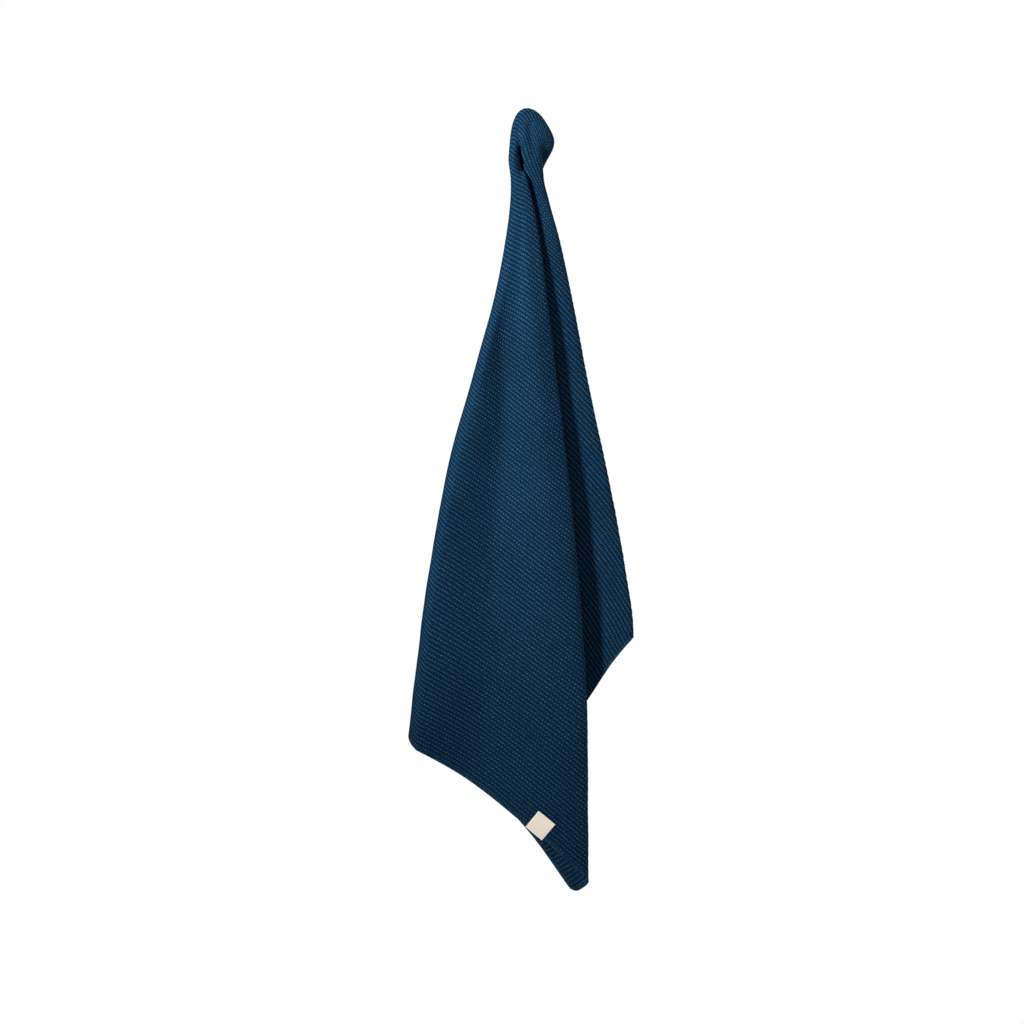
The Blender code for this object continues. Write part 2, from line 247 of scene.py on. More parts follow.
@dataclass(frozen=True)
class Drape:
    """How the cloth hangs: where each of its places lies, in millimetres and degrees.

    Near the hook it is a hood, further off a folded section of panels between lines. The trough and the
    crest shape the front panel, the lean slants its rows of stitches, and the sag lowers its hem.
    """

    length: float = 600.0
    width: float = 500.0
    hook_from_short_edge: float = 45.0
    hook_from_long_edge: float = 50.0
    crown: float = 0.8
    hood_rounding: float = 9.5
    hood_flatness: float = 0.45
    hood_fullness: float = 0.85
    hood_front: float = 64.0
    hood_width: float = 1.05
    hood_drift: tuple[float, float] = (5.0, 32.0)
    hood_shift: Curve = field(default_factory=lambda: Curve(
        [0.0, 10.0, 22.0, 34.0, 52.0, 62.0], [0.6, 2.4, 2.4, 1.2, 0.0, 0.0]))
    hood_end: float = 62.0
    creases: tuple[Crease, ...] = (
        Crease((-7.0, 22.0), (-3.4, 56.0), 7.5, 4.6, 2.0),
        Crease((3.2, 17.0), (7.0, 42.0), 2.4, 3.0, 1.8),
        Crease((-16.0, 62.0), (-6.0, 64.0), 2.0, 1.6, 2.4),
    )
    crease_side: tuple[float, float] = (-10.0, 8.0)
    crease_end: tuple[float, float] = (76.0, 96.0)
    crease_reach: float = 110.0
    seam: float = -132.0
    lines: tuple[Line, ...] = (
        Line("seam", -132.0, -132.0, 1.0),
        Line("long_edge", -50.0, -50.0, 0.985),
        Line("rear_fold", -16.0, 8.0, 0.985, -11.0),
        Line("left_fold", 8.0, 22.0, 0.981, -6.5),
        Line("front_fold", 35.0, 37.8, 1.018, 0.8),
        Line("middle_fold", 46.0, 44.7, 1.008, 0.4),
        Line("right_fold", 80.0, 61.4, 0.968, -1.5),
        Line("back_fold", 102.0, 80.0, 0.965, -1.5),
        Line("short_edge", 130.0, 130.0, 0.950),
        Line("seam", 228.0, 228.0, 1.0),
    )
    panels: tuple[str, ...] = ("flap", "rear_turned", "rear", "front", "pleat", "right",
                               "right_turned", "right_inner", "flap")
    gather: tuple[float, float] = (48.0, 175.0)
    swing: Curve = field(default_factory=lambda: Curve(
        [0.0, 100.0, 180.0, 250.0, 320.0, 400.0, 480.0, 550.0, 600.0, 800.0],
        [0.0, 0.0, 0.55, 0.95, 0.95, 0.70, 0.32, 0.04, 0.0, 0.0]))
    left_edge_line: int = 1
    right_edge_line: int = 8
    gain_full: float = 150.0
    widest_fold: float = 9.0
    fold_share: float = 0.45
    depth_folds: tuple[float, float] = (22.0, 48.0)
    depth_folds_right: tuple[float, float] = (36.0, 68.0)
    right_side: tuple[float, float] = (46.0, 74.0)
    back_side: tuple[float, float] = (130.0, 200.0)
    width_folds: tuple[float, float] = (36.0, 70.0)
    onset_in: tuple[float, float] = (12.0, 26.0)
    onset_out: tuple[float, float] = (66.0, 84.0)
    onset_step: float = 3.75
    onset_steps: int = 3
    trough_middle: Curve = field(default_factory=lambda: Curve(
        [150.0, 196.0, 233.0, 270.0, 306.0, 343.0, 400.0, 454.0, 500.0, 540.0, 601.0, 720.0],
        [5.0, 7.0, 14.0, 23.0, 29.0, 31.0, 30.0, 34.0, 40.0, 42.0, 32.0, 31.0]))
    trough_half: Curve = field(default_factory=lambda: Curve(
        [150.0, 196.0, 233.0, 270.0, 306.0, 400.0, 540.0, 720.0],
        [8.0, 9.0, 11.0, 15.0, 20.0, 28.0, 34.0, 24.0]))
    trough_depth: Curve = field(default_factory=lambda: Curve(
        [120.0, 150.0, 196.0, 233.0, 270.0, 306.0, 400.0, 454.0, 540.0, 570.0, 620.0, 720.0],
        [0.0, 1.4, 7.0, 10.4, 12.8, 14.2, 12.6, 13.0, 17.0, 16.0, 11.0, 6.0]))
    crest_depth: Curve = field(default_factory=lambda: Curve(
        [60.0, 100.0, 150.0, 233.0, 320.0, 720.0], [0.0, 1.6, 3.6, 6.0, 7.0, 7.5]))
    crest_foot: float = 0.40
    crest_top: Curve = field(default_factory=lambda: Curve(
        [86.0, 160.0, 233.0, 300.0, 454.0, 720.0], [0.60, 0.64, 0.78, 0.80, 0.86, 0.90]))
    crest_fall: Curve = field(default_factory=lambda: Curve(
        [86.0, 250.0, 330.0, 454.0, 720.0], [1.1, 1.0, 0.7, 0.5, 0.4]))
    front_turn: tuple[int, int] = (3, 4)
    front_round: float = 2.0
    right_sweep: Curve = field(default_factory=lambda: Curve(
        [70.0, 160.0, 300.0, 420.0, 540.0, 720.0], [0.0, 0.28, 0.32, 0.24, 0.16, 0.16]))
    sag_reach: tuple[float, float] = (380.0, 690.0)
    sag: Curve = field(default_factory=lambda: Curve(
        [8.0, 22.0, 28.0, 33.0, 36.0, 39.0, 42.0, 45.0, 52.0, 55.0, 58.0, 62.0, 70.0],
        [0.0, 0.0, 0.0, 4.6, 6.0, 8.0, 2.0, 3.0, 24.0, 21.5, 12.0, 6.0, 3.0]))
    lean_start: tuple[float, float] = (30.0, 110.0)
    lean_turn: tuple[float, float] = (160.0, 330.0)
    lean_end: tuple[float, float] = (380.0, 600.0)
    lean_front: tuple[float, float] = (38.0, 50.0)
    lean_last: float = 80.0
    lean: Curve = field(default_factory=lambda: Curve(
        [-40.0, -20.0, 8.0, 22.0, 26.0, 30.0, 35.0, 38.0, 45.0, 52.0, 61.0, 80.0],
        [0.0, 0.0, -2.6, -2.6, -1.0, 1.0, 2.3, 2.6, 2.6, 0.0, -8.0, -4.0]))
    folds: dict[str, Curve] = field(default_factory=lambda: {
        "seam": Curve([0.0, 100.0], [0.0, 0.0]),
        **{name: Curve.from_column(FOLD_STATIONS, name) for name in FoldStation._fields[1:]}})
    levels: dict[str, Curve] = field(default_factory=lambda: {
        name: Curve.from_column(LEVEL_STATIONS, name) for name in LevelStation._fields[1:]})

    def headings(self, reach: float) -> list[float]:
        """Return the lines' headings at a reach: the folds gather towards the hook.

        Args:
            reach: Distance in the cloth from the hook.

        Returns:
            The headings. The free edges swing in where the cloth ends.
        """
        gathered = smooth_step(*self.gather, reach)
        swung = self.swing.at(reach)
        found = [mix(line.neck_heading, line.heading, gathered) + line.swing * swung for line in self.lines]
        left, right = self.left_edge_line, self.right_edge_line
        if reach > self.hook_from_long_edge / math.sin(math.radians(-found[left])):
            found[left] = -math.degrees(math.asin(self.hook_from_long_edge / reach))
        if reach > self.hook_from_short_edge / -math.cos(math.radians(found[right])):
            found[right] = math.degrees(math.acos(-self.hook_from_short_edge / reach))
        return found

    def level(self, index: int, drop: float, x: float) -> float:
        """Find how far a panel stands back, with the soft shape of the front one.

        Args:
            index: The panel.
            drop: How far below the crown.
            x: Where on the panel.

        Returns:
            The level, as Y.
        """
        name = self.panels[index]
        level = self.levels[name].at(drop)
        if name == "front":
            left, right = self.folds["left_fold"].at(drop), self.folds["front_fold"].at(drop)
            inside, width = x - left, right - left
            middle, half = self.trough_middle.at(drop), self.trough_half.at(drop)
            sunk = smooth_step(middle - half, middle + half, inside)
            level -= max(self.trough_depth.at(drop), 0.0) * (1.0 - sunk)
            top = self.crest_top.at(drop) * width
            crest = smooth_step(self.crest_foot * width, top, inside)
            crest *= 1.0 - self.crest_fall.at(drop) * smooth_step(top, width, inside)
            level -= max(self.crest_depth.at(drop), 0.0) * crest
        return level

    def fold(self, index: int, neighbour: int, drop: float, x: float, width: float,
             crisp: float) -> tuple[float, float, float]:
        """Find the round of a fold at one side of a panel.

        Args:
            index: The panel.
            neighbour: The panel on the fold's other side.
            drop: How far below the crown.
            x: Where the fold stands.
            width: How wide the panel is there.
            crisp: 1 where the panel is straight between its folds, 0 where they take all of it.

        Returns:
            The fold's middle level, its radius along X and its radius along Y.
        """
        here = self.level(index, drop, x)
        there = self.level(neighbour, drop, x) if 0 <= neighbour < len(self.panels) else here
        high = abs(here - there) / 2
        wide = high * (self.front_round if {index, neighbour} == set(self.front_turn) else 1.0)
        radius = mix(width / 2, min(wide, self.widest_fold, self.fold_share * width), crisp)
        return (here + there) / 2, radius, high

    def section(self, index: int, share: float, drop: float, crisp: float) -> tuple[float, float]:
        """Find a point of the folded section that the cloth has at one drop.

        Args:
            index: The panel.
            share: How far across it.
            drop: How far below the crown.
            crisp: How straight the panel is between its folds.

        Returns:
            X and Y.
        """
        x_start = self.folds[self.lines[index].column].at(drop)
        x_end = self.folds[self.lines[index + 1].column].at(drop)
        way = 1.0 if x_end > x_start else -1.0
        width = abs(x_end - x_start)
        start_level, start_radius, start_height = self.fold(index, index - 1, drop, x_start, width, crisp)
        end_level, end_radius, end_height = self.fold(index, index + 1, drop, x_end, width, crisp)
        start_arc = (start_radius + start_height) * math.pi / 4
        end_arc = (end_radius + end_height) * math.pi / 4
        straight = width - start_radius - end_radius
        walked = share * (start_arc + straight + end_arc)
        if walked < start_arc:
            turn = walked / start_arc * math.pi / 2
            x = x_start + way * start_radius * (1 - math.cos(turn))
            return x, mix(start_level, self.level(index, drop, x), math.sin(turn))
        if walked > start_arc + straight:
            turn = (start_arc + straight + end_arc - walked) / end_arc * math.pi / 2
            x = x_end - way * end_radius * (1 - math.cos(turn))
            return x, mix(end_level, self.level(index, drop, x), math.sin(turn))
        x = x_start + way * (start_radius + walked - start_arc)
        return x, self.level(index, drop, x)

    def hang(self, reach: float, heading: float) -> Vector:
        """Find where the cloth hangs at a reach and heading, before the folds' onset is evened.

        Args:
            reach: Distance in the cloth from the hook.
            heading: Angle there from the long side.

        Returns:
            The place in millimetres, at the middle of the cloth's thickness.
        """
        headings = self.headings(reach)
        index = min(max(bisect_right(headings, heading) - 1, 0), len(self.panels) - 1)
        share = (heading - headings[index]) / (headings[index + 1] - headings[index])
        gain = mix(self.lines[index].gain, self.lines[index + 1].gain, share)
        gain = mix(1.0, gain, smooth_step(0.0, self.gain_full, reach))
        drop = gain * (math.hypot(reach, self.hood_rounding) - self.hood_rounding)
        drop += self.sag.at(heading) * smooth_step(*self.sag_reach, reach)
        upper = smooth_step(*self.lean_front, heading) - 1.0
        leaning = mix(upper, 1.0, smooth_step(*self.lean_turn, reach)) * smooth_step(*self.lean_start, reach)
        fading = 1.0 - smooth_step(*self.lean_end, reach)
        drop += self.lean.at(min(heading, self.lean_last)) * leaning * fading

        folded = smooth_step(*self.width_folds, reach)
        fold_x, fold_y = self.section(index, share, drop, folded)
        past_front = max(fold_x - self.folds["front_fold"].at(drop), 0.0)
        fold_y += max(self.right_sweep.at(drop), 0.0) * past_front

        turn = math.radians(heading - self.hood_front)
        radius = self.hood_rounding * math.asinh(reach / self.hood_rounding)
        middle = (self.folds["left_fold"].at(drop) + self.folds["right_fold"].at(drop)) / 2
        middle = middle * smooth_step(*self.hood_drift, drop) + self.hood_shift.at(min(drop, self.hood_end))
        hood_x = middle + self.hood_width * radius * math.sin(turn)
        facing = math.cos(turn)
        hood_y = -self.hood_flatness * radius * math.copysign(abs(facing) ** self.hood_fullness, facing)
        right = smooth_step(*self.right_side, heading) * (1.0 - smooth_step(*self.back_side, heading))
        deepened = mix(smooth_step(*self.depth_folds, reach), smooth_step(*self.depth_folds_right, reach),
                       right)
        return Vector((mix(hood_x, fold_x, folded), mix(hood_y, fold_y, deepened), self.crown - drop))

    def place(self, along: float, across: float) -> Vector:
        """Find where a place of the cloth hangs. It may lie a little past an edge.

        Args:
            along: Distance from the short edge, in millimetres.
            across: Distance from the long edge.

        Returns:
            The place in millimetres, at the middle of the cloth's thickness.
        """
        from_hook = (along - self.hook_from_short_edge, across - self.hook_from_long_edge)
        reach = math.hypot(*from_hook)
        heading = math.degrees(math.atan2(from_hook[1], from_hook[0]))
        if heading < self.seam:
            heading += 360.0
        point = self.hang(reach, heading)
        onset = smooth_step(*self.onset_in, reach) * (1 - smooth_step(*self.onset_out, reach))
        if onset > 0.0:
            even, weights = Vector((0.0, 0.0, 0.0)), 0.0
            for step in range(-self.onset_steps, self.onset_steps + 1):
                weight = math.exp(-step * step / 8)
                even += weight * self.hang(reach + step * self.onset_step, heading)
                weights += weight
            point = point.lerp(even / weights, onset)
        in_front = smooth_step(*self.crease_side, heading) * (1.0 - smooth_step(*self.crease_end, heading))
        if in_front > 0.0 and reach < self.crease_reach:
            point.y += in_front * sum(crease.sink(point.x, -point.z) for crease in self.creases)
        return point


class Wiring:
    """Adds the nodes of one material and joins them to its Principled shader."""

    def __init__(self, name: str) -> None:
        """Start a material.

        Args:
            name: Its name.
        """
        self.material = bpy.data.materials.new(name)
        self.material.use_nodes = True
        self.tree = self.material.node_tree
        self.shader = self.tree.nodes["Principled BSDF"]

    def feed(self, socket: bpy.types.NodeSocket, value: Value) -> None:
        """Link a socket to another, or set it to a value.

        Args:
            socket: The input.
            value: What goes in. Nothing is set for None.
        """
        if isinstance(value, bpy.types.NodeSocket):
            self.tree.links.new(value, socket)
        elif value is not None:
            socket.default_value = value

    def math(self, operation: str, *values: Value) -> bpy.types.NodeSocket:
        """Add a Math node.

        Args:
            operation: What it does.
            *values: Its inputs, in order.

        Returns:
            Its output.
        """
        node = self.tree.nodes.new("ShaderNodeMath")
        node.operation = operation
        for socket, value in zip(node.inputs, values):
            self.feed(socket, value)
        return node.outputs[0]

    def vector(self, operation: str, first: Value, second: Value) -> bpy.types.NodeSocket:
        """Add a Vector Math node.

        Args:
            operation: What it does.
            first: Its first input.
            second: Its second input, or the factor of SCALE.

        Returns:
            Its vector output.
        """
        node = self.tree.nodes.new("ShaderNodeVectorMath")
        node.operation = operation
        self.feed(node.inputs[0], first)
        self.feed(node.inputs["Scale" if operation == "SCALE" else 1], second)
        return node.outputs[0]

    def split(self, vector: Value) -> tuple[bpy.types.NodeSocket, bpy.types.NodeSocket]:
        """Take a vector apart.

        Args:
            vector: The vector.

        Returns:
            Its first and second parts.
        """
        node = self.tree.nodes.new("ShaderNodeSeparateXYZ")
        self.feed(node.inputs[0], vector)
        return node.outputs[0], node.outputs[1]

    def cloth_place(self, uv_map: str) -> bpy.types.NodeSocket:
        """Read the place on the cloth from a UV map.

        Args:
            uv_map: Name of the map.

        Returns:
            The place, in metres.
        """
        node = self.tree.nodes.new("ShaderNodeUVMap")
        node.uv_map = uv_map
        return node.outputs[0]

    def noise(self, place: Value, size: float, detail: float = 2.0) -> bpy.types.Node:
        """Add a noise whose features are about as large as size, in metres.

        Args:
            place: The coordinates.
            size: Size of a feature.
            detail: Octaves on top of the first.

        Returns:
            The noise node.
        """
        node = self.tree.nodes.new("ShaderNodeTexNoise")
        self.feed(node.inputs["Vector"], place)
        node.inputs["Scale"].default_value = 1.0 / size
        node.inputs["Detail"].default_value = detail
        return node

    def blend(self, share: Value, first: Value, second: Value) -> bpy.types.NodeSocket:
        """Mix two colours.

        Args:
            share: How much of the second, from 0 to 1.
            first: The first colour.
            second: The second colour.

        Returns:
            The mixed colour.
        """
        node = self.tree.nodes.new("ShaderNodeMix")
        node.data_type = "RGBA"
        colours = [socket for socket in node.inputs if socket.type == "RGBA"]
        self.feed(node.inputs[0], share)
        self.feed(colours[0], first)
        self.feed(colours[1], second)
        return next(socket for socket in node.outputs if socket.type == "RGBA")

    def relief(self, height: Value, depth: float, strength: float) -> None:
        """Give the surface a relief.

        Args:
            height: The height, from 0 to 1.
            depth: How far the surface stands up where the height is 1, in metres.
            strength: How much of it shows.
        """
        node = self.tree.nodes.new("ShaderNodeBump")
        node.inputs["Distance"].default_value = depth
        node.inputs["Strength"].default_value = strength
        self.feed(node.inputs["Height"], height)
        self.feed(self.shader.inputs["Normal"], node.outputs[0])


class KnitSide(Enum):
    """The two sides of the knit, which look different."""

    DOTTED = "dotted"
    RIBBED = "ribbed"


@dataclass(frozen=True)
class KnitFinish:
    """Matt cotton yarn, knitted in rows of raised stitches, with painted shade in the gaps between them and
    painted highlights on their tops.
    """

    name: str
    side: KnitSide
    stitch: float
    row: float
    width: float
    length: float
    edge: tuple[float, float] = (0.0013, 0.0028)
    # Dark blue of the painted shade in the gaps between the stitches, also the dark end of the random
    # patches of tone.
    gap_shade_and_patch_dark: Colour = (0.0001, 0.0018, 0.0070)
    body: Colour = (0.0009, 0.0176, 0.0450)
    # Pale colour of the painted highlights on the tops of the stitches.
    top: Colour = (0.0340, 0.0840, 0.1400)
    roughness: float = 0.95
    specular: float = 0.02
    relief: float = 0.0008
    relief_strength: float = 0.8
    cord_twist: float = 0.0021
    cord_swell: tuple[float, float] = (0.2, 0.8)
    wander: float = 0.0012
    wander_size: float = 0.030
    # How soon the painted gap shade gives way to the yarn's own blue as the stitch rises.
    gap_shade_rise: float = 1.9
    gap_shade_softness: float = 0.3
    row_swell: tuple[float, float] = (0.86, 0.14)
    dot_swell: tuple[float, float] = (0.24, 0.76)
    rib_swell: tuple[float, float] = (0.14, 0.86)
    yarn_size: float = 0.0011
    yarn_relief: float = 0.35
    # How the yarn noise and the stitch height set the painted highlights.
    highlight_sparkle: tuple[float, float] = (6.0, -2.6)
    highlight_sharpness: float = 2.2
    patch_size: float = 0.055
    patch_shade: tuple[float, float] = (0.5, 0.06)

    def height(self, wiring: Wiring, place: Value) -> bpy.types.NodeSocket:
        """Work out how far the yarn stands up, from 0 in the gaps to 1 on the stitches.

        Args:
            wiring: The material.
            place: The place on the cloth, in metres.

        Returns:
            The height.
        """
        wander = wiring.noise(place, self.wander_size).outputs["Color"]
        wander = wiring.vector("SCALE", wiring.vector("SUBTRACT", wander, (0.5, 0.5, 0.5)), self.wander)
        across, along = wiring.split(wiring.vector("ADD", place, wander))
        rows = wiring.math("COSINE", wiring.math("MULTIPLY", along, math.pi / self.row))
        dots = wiring.math("COSINE", wiring.math("MULTIPLY", across, math.pi / self.stitch))
        ridge = wiring.math("MULTIPLY_ADD", wiring.math("ABSOLUTE", rows), *self.row_swell)
        if self.side is KnitSide.DOTTED:
            dots = wiring.math("MULTIPLY", dots, wiring.math("SIGN", rows))
            swell = self.dot_swell
        else:
            dots = wiring.math("COSINE", wiring.math("MULTIPLY", across, 2 * math.pi / self.stitch))
            swell = self.rib_swell
        dots = wiring.math("MULTIPLY_ADD", dots, *swell)
        return wiring.math("MULTIPLY", ridge, dots)

    def hemmed(self, wiring: Wiring, place: Value, height: Value) -> bpy.types.NodeSocket:
        """Turn the knit into a fine twisted cord along the cloth's edge.

        Args:
            wiring: The material.
            place: The place on the cloth, in metres.
            height: The height of the knit.

        Returns:
            The height with the cord in it.
        """
        across, along = wiring.split(place)
        sides = [across, wiring.math("SUBTRACT", self.width, across),
                 along, wiring.math("SUBTRACT", self.length, along)]
        near = wiring.math("MINIMUM", wiring.math("MINIMUM", *sides[:2]), wiring.math("MINIMUM", *sides[2:]))
        start, end = self.edge
        hem = wiring.math("MULTIPLY_ADD", near, -1.0 / (end - start), end / (end - start))
        hem = wiring.math("MINIMUM", wiring.math("MAXIMUM", hem, 0.0), 1.0)
        turn = wiring.math("MULTIPLY", wiring.math("ADD", across, along), 2 * math.pi / self.cord_twist)
        cord = wiring.math("MULTIPLY_ADD", wiring.math("COSINE", turn), *self.cord_swell)
        return wiring.math("MULTIPLY_ADD", hem, wiring.math("SUBTRACT", cord, height), height)

    def material(self) -> bpy.types.Material:
        """Make the knit's material: painted shade in the gaps, the yarn's blue, and painted highlights on
        the tops of the stitches where the yarn noise is high.

        Returns:
            The material for this side.
        """
        wiring = Wiring(self.name)
        place = wiring.cloth_place(KnittedCloth.uv_map)
        height = self.hemmed(wiring, place, self.height(wiring, place))
        yarn = wiring.noise(place, self.yarn_size).outputs[0]
        patches = wiring.noise(place, self.patch_size, 3.0).outputs[0]
        # Painted shade: the gaps between the stitches are coloured towards the dark blue.
        out_of_gap_shade = wiring.math("SMOOTH_MIN", wiring.math("MULTIPLY", height, self.gap_shade_rise), 1.0,
                            self.gap_shade_softness)
        colour = wiring.blend(out_of_gap_shade, (*self.gap_shade_and_patch_dark, 1.0), (*self.body, 1.0))
        # Painted highlights: the tops of the stitches are coloured pale where the yarn noise is high.
        bright = wiring.math("MAXIMUM", wiring.math("MULTIPLY_ADD", yarn, *self.highlight_sparkle), 0.0)
        painted_highlights = wiring.math("MULTIPLY", wiring.math("POWER", height, self.highlight_sharpness), bright)
        colour = wiring.blend(painted_highlights, colour, (*self.top, 1.0))
        # Random patches of darker tone, towards the same dark blue.
        shade = wiring.math("MULTIPLY_ADD", wiring.math("SUBTRACT", patches, 0.5), *self.patch_shade)
        colour = wiring.blend(wiring.math("MAXIMUM", shade, 0.0), colour, (*self.gap_shade_and_patch_dark, 1.0))
        wiring.feed(wiring.shader.inputs["Base Color"], colour)
        wiring.relief(wiring.math("MULTIPLY_ADD", yarn, self.yarn_relief, height), self.relief,
                      self.relief_strength)
        wiring.shader.inputs["Roughness"].default_value = self.roughness
        wiring.shader.inputs["Specular IOR Level"].default_value = self.specular
        return wiring.material


@dataclass(frozen=True)
class TapeFinish:
    """Cream cotton tape in a fine plain weave."""

    name: str = "label"
    thread: float = 0.00042
    cream: Colour = (0.86, 0.78, 0.66)
    shade: Colour = (0.62, 0.55, 0.45)
    roughness: float = 0.78
    specular: float = 0.3
    relief: float = 0.00015
    relief_strength: float = 0.6
    weave_shade: float = 0.35
    mottle_size: float = 0.004
    mottle_shade: float = 0.4

    def material(self) -> bpy.types.Material:
        """Make the tape's material.

        Returns:
            The material.
        """
        wiring = Wiring(self.name)
        place = wiring.cloth_place(HemLabel.uv_map)
        across, along = wiring.split(place)
        warp = wiring.math("SINE", wiring.math("MULTIPLY", across, math.pi / self.thread))
        weft = wiring.math("SINE", wiring.math("MULTIPLY", along, math.pi / self.thread))
        weave = wiring.math("MULTIPLY_ADD", wiring.math("MULTIPLY", warp, weft), 0.5, 0.5)
        mottle = wiring.noise(place, self.mottle_size, 4.0).outputs[0]
        mottled = wiring.math("MULTIPLY", wiring.math("SUBTRACT", mottle, 0.4), self.mottle_shade)
        # Painted shade between the threads, plus random mottling, darkens the cream towards the shade
        # colour.
        darker = wiring.math("MULTIPLY_ADD", wiring.math("SUBTRACT", 1.0, weave), self.weave_shade, mottled)
        colour = wiring.blend(wiring.math("MAXIMUM", darker, 0.0), (*self.cream, 1.0), (*self.shade, 1.0))
        wiring.feed(wiring.shader.inputs["Base Color"], colour)
        wiring.relief(weave, self.relief, self.relief_strength)
        wiring.shader.inputs["Roughness"].default_value = self.roughness
        wiring.shader.inputs["Specular IOR Level"].default_value = self.specular
        return wiring.material


@dataclass(frozen=True)
class PlainFinish:
    """One even matt colour, for what isn't part of the towel."""

    name: str
    colour: Colour
    roughness: float = 0.9

    def material(self) -> bpy.types.Material:
        """Make the material.

        Returns:
            The material.
        """
        wiring = Wiring(self.name)
        wiring.shader.inputs["Base Color"].default_value = (*self.colour, 1.0)
        wiring.shader.inputs["Roughness"].default_value = self.roughness
        return wiring.material


@dataclass
class KnittedCloth:
    """The towel's cloth: a grid with a point for each stitch, closed round its edge."""

    drape: Drape
    rows: int = 165
    stitches: int = 376
    corner_round: float = 6.0
    hem_relief: float = 0.25
    half_thickness: float = 0.55
    stitch_relief: float = 0.12
    rib_relief: float = 0.12
    edge_round: float = 0.5
    ripple: float = 0.7
    ripple_size: float = 48.0
    ripple_stretch: float = 0.6
    ripple_layer: float = 7.0
    fine_ripple: tuple[float, float] = (2.7, 0.4)
    ripple_reach: tuple[float, float] = (90.0, 300.0)
    uv_map = "cloth"

    @property
    def row_height(self) -> float:
        """Return the distance between two rows, in millimetres."""
        return self.drape.length / self.rows

    @property
    def stitch_width(self) -> float:
        """Return the width of a stitch, in millimetres."""
        return self.drape.width / self.stitches

    def middle(self) -> tuple[np.ndarray, np.ndarray]:
        """Place the middle of the cloth's thickness at each point of the grid.

        Returns:
            The points and the normals towards the dotted side, by row and stitch.
        """
        points = np.array([[self.drape.place(*self.flat_place(row, stitch))
                            for stitch in range(self.stitches + 1)] for row in range(self.rows + 1)])
        along, across = np.gradient(points, axis=0), np.gradient(points, axis=1)
        normals = np.cross(along, across)
        normals /= np.linalg.norm(normals, axis=2, keepdims=True)
        points += normals * self.ripples()[:, :, None]
        return points, normals

    def flat_place(self, row: int, stitch: int) -> tuple[float, float]:
        """Find where a point of the grid lies on the flat cloth, whose corners are round.

        Args:
            row: Its row.
            stitch: Its stitch.

        Returns:
            How far along and across the cloth it is, in millimetres.
        """
        place = (row * self.row_height, stitch * self.stitch_width)
        middle = (self.drape.length / 2, self.drape.width / 2)
        away = [abs(at - half) for at, half in zip(place, middle)]
        into = [max(off - half + self.corner_round, 0.0) for off, half in zip(away, middle)]
        drawn = [near * (1.0 - math.sqrt(1.0 - far * far / (2 * self.corner_round ** 2)))
                 for near, far in (into, into[::-1])]
        return tuple(half + math.copysign(off - back, at - half)
                     for at, half, off, back in zip(place, middle, away, drawn))

    def ripples(self) -> np.ndarray:
        """Work out the soft unevenness of the hanging cloth.

        Returns:
            How far it stands out, in millimetres, by row and stitch.
        """
        finer, fine_share = self.fine_ripple
        found = np.zeros((self.rows + 1, self.stitches + 1))
        for row in range(self.rows + 1):
            along = row * self.row_height
            for stitch in range(self.stitches + 1):
                across = stitch * self.stitch_width
                reach = math.hypot(along - self.drape.hook_from_short_edge,
                                   across - self.drape.hook_from_long_edge)
                spot = Vector((along * self.ripple_stretch, across, self.ripple_layer)) / self.ripple_size
                uneven = noise.noise(spot) + fine_share * noise.noise(spot * finer)
                found[row, stitch] = self.ripple * uneven * smooth_step(*self.ripple_reach, reach)
        return found

    def flat_shell(self) -> bmesh.types.BMesh:
        """Make the closed shell while it still lies flat, in steps of the grid.

        Returns:
            The shell: X counts stitches and Y rows, and Z is 0 on one side, 1 on the other.
        """
        mesh = bmesh.new()
        bmesh.ops.create_grid(mesh, x_segments=self.stitches, y_segments=self.rows, size=0.5)
        bmesh.ops.scale(mesh, vec=(self.stitches, self.rows, 1.0), verts=mesh.verts[:])
        bmesh.ops.translate(mesh, vec=(self.stitches / 2, self.rows / 2, 0.0), verts=mesh.verts[:])
        bmesh.ops.solidify(mesh, geom=mesh.faces[:], thickness=1.0)
        floor = min(vertex.co.z for vertex in mesh.verts)
        bmesh.ops.translate(mesh, vec=(0.0, 0.0, -floor), verts=mesh.verts[:])
        spare = [edge for edge in mesh.edges if self.spare_on_reverse(edge)]
        bmesh.ops.dissolve_edges(mesh, edges=spare, use_verts=True)
        rim = [edge for edge in mesh.edges if abs(edge.verts[0].co.z - edge.verts[1].co.z) > 0.5]
        bmesh.ops.subdivide_edges(mesh, edges=rim, cuts=1, use_grid_fill=False)
        return mesh

    @staticmethod
    def spare_on_reverse(edge: bmesh.types.BMEdge) -> bool:
        """Tell whether an edge runs up a column that the plainer reverse side can do without.

        Args:
            edge: An edge of the flat shell.

        Returns:
            True if it can go.
        """
        first, second = (vertex.co for vertex in edge.verts)
        return (first.z < 0.5 and second.z < 0.5 and abs(first.x - second.x) < 0.5
                and round(first.x) % 2 == 1)

    def build(self) -> bpy.types.Object:
        """Make the cloth.

        Returns:
            The cloth's object, with a dotted and a ribbed side.
        """
        points, normals = self.middle()
        mesh = self.flat_shell()
        places = mesh.loops.layers.uv.new(self.uv_map)
        for face in mesh.faces:
            face.smooth = True
            heights = [vertex.co.z for vertex in face.verts]
            face.material_index = 0 if max(heights) > 0.75 and min(heights) > 0.25 else 1
            for loop in face.loops:
                loop[places].uv = (loop.vert.co.x * self.stitch_width * MM,
                                   loop.vert.co.y * self.row_height * MM)
        for vertex in mesh.verts:
            stitch, row = round(vertex.co.x), round(vertex.co.y)
            point = Vector(points[row, stitch])
            side = 2.0 * vertex.co.z - 1.0
            if abs(side) < 0.5:
                vertex.co = (point + self.edge_step(points, row, stitch)) * MM
                continue
            raised = (row + stitch) % 2 == 0
            relief = self.stitch_relief if side > 0 else self.rib_relief
            if min(row, stitch, self.rows - row, self.stitches - stitch) < 1:
                relief, raised = self.hem_relief, True
            off = self.half_thickness + (relief if raised else -relief)
            vertex.co = (point + Vector(normals[row, stitch]) * side * off) * MM
        return as_object("knitted_cloth", mesh)

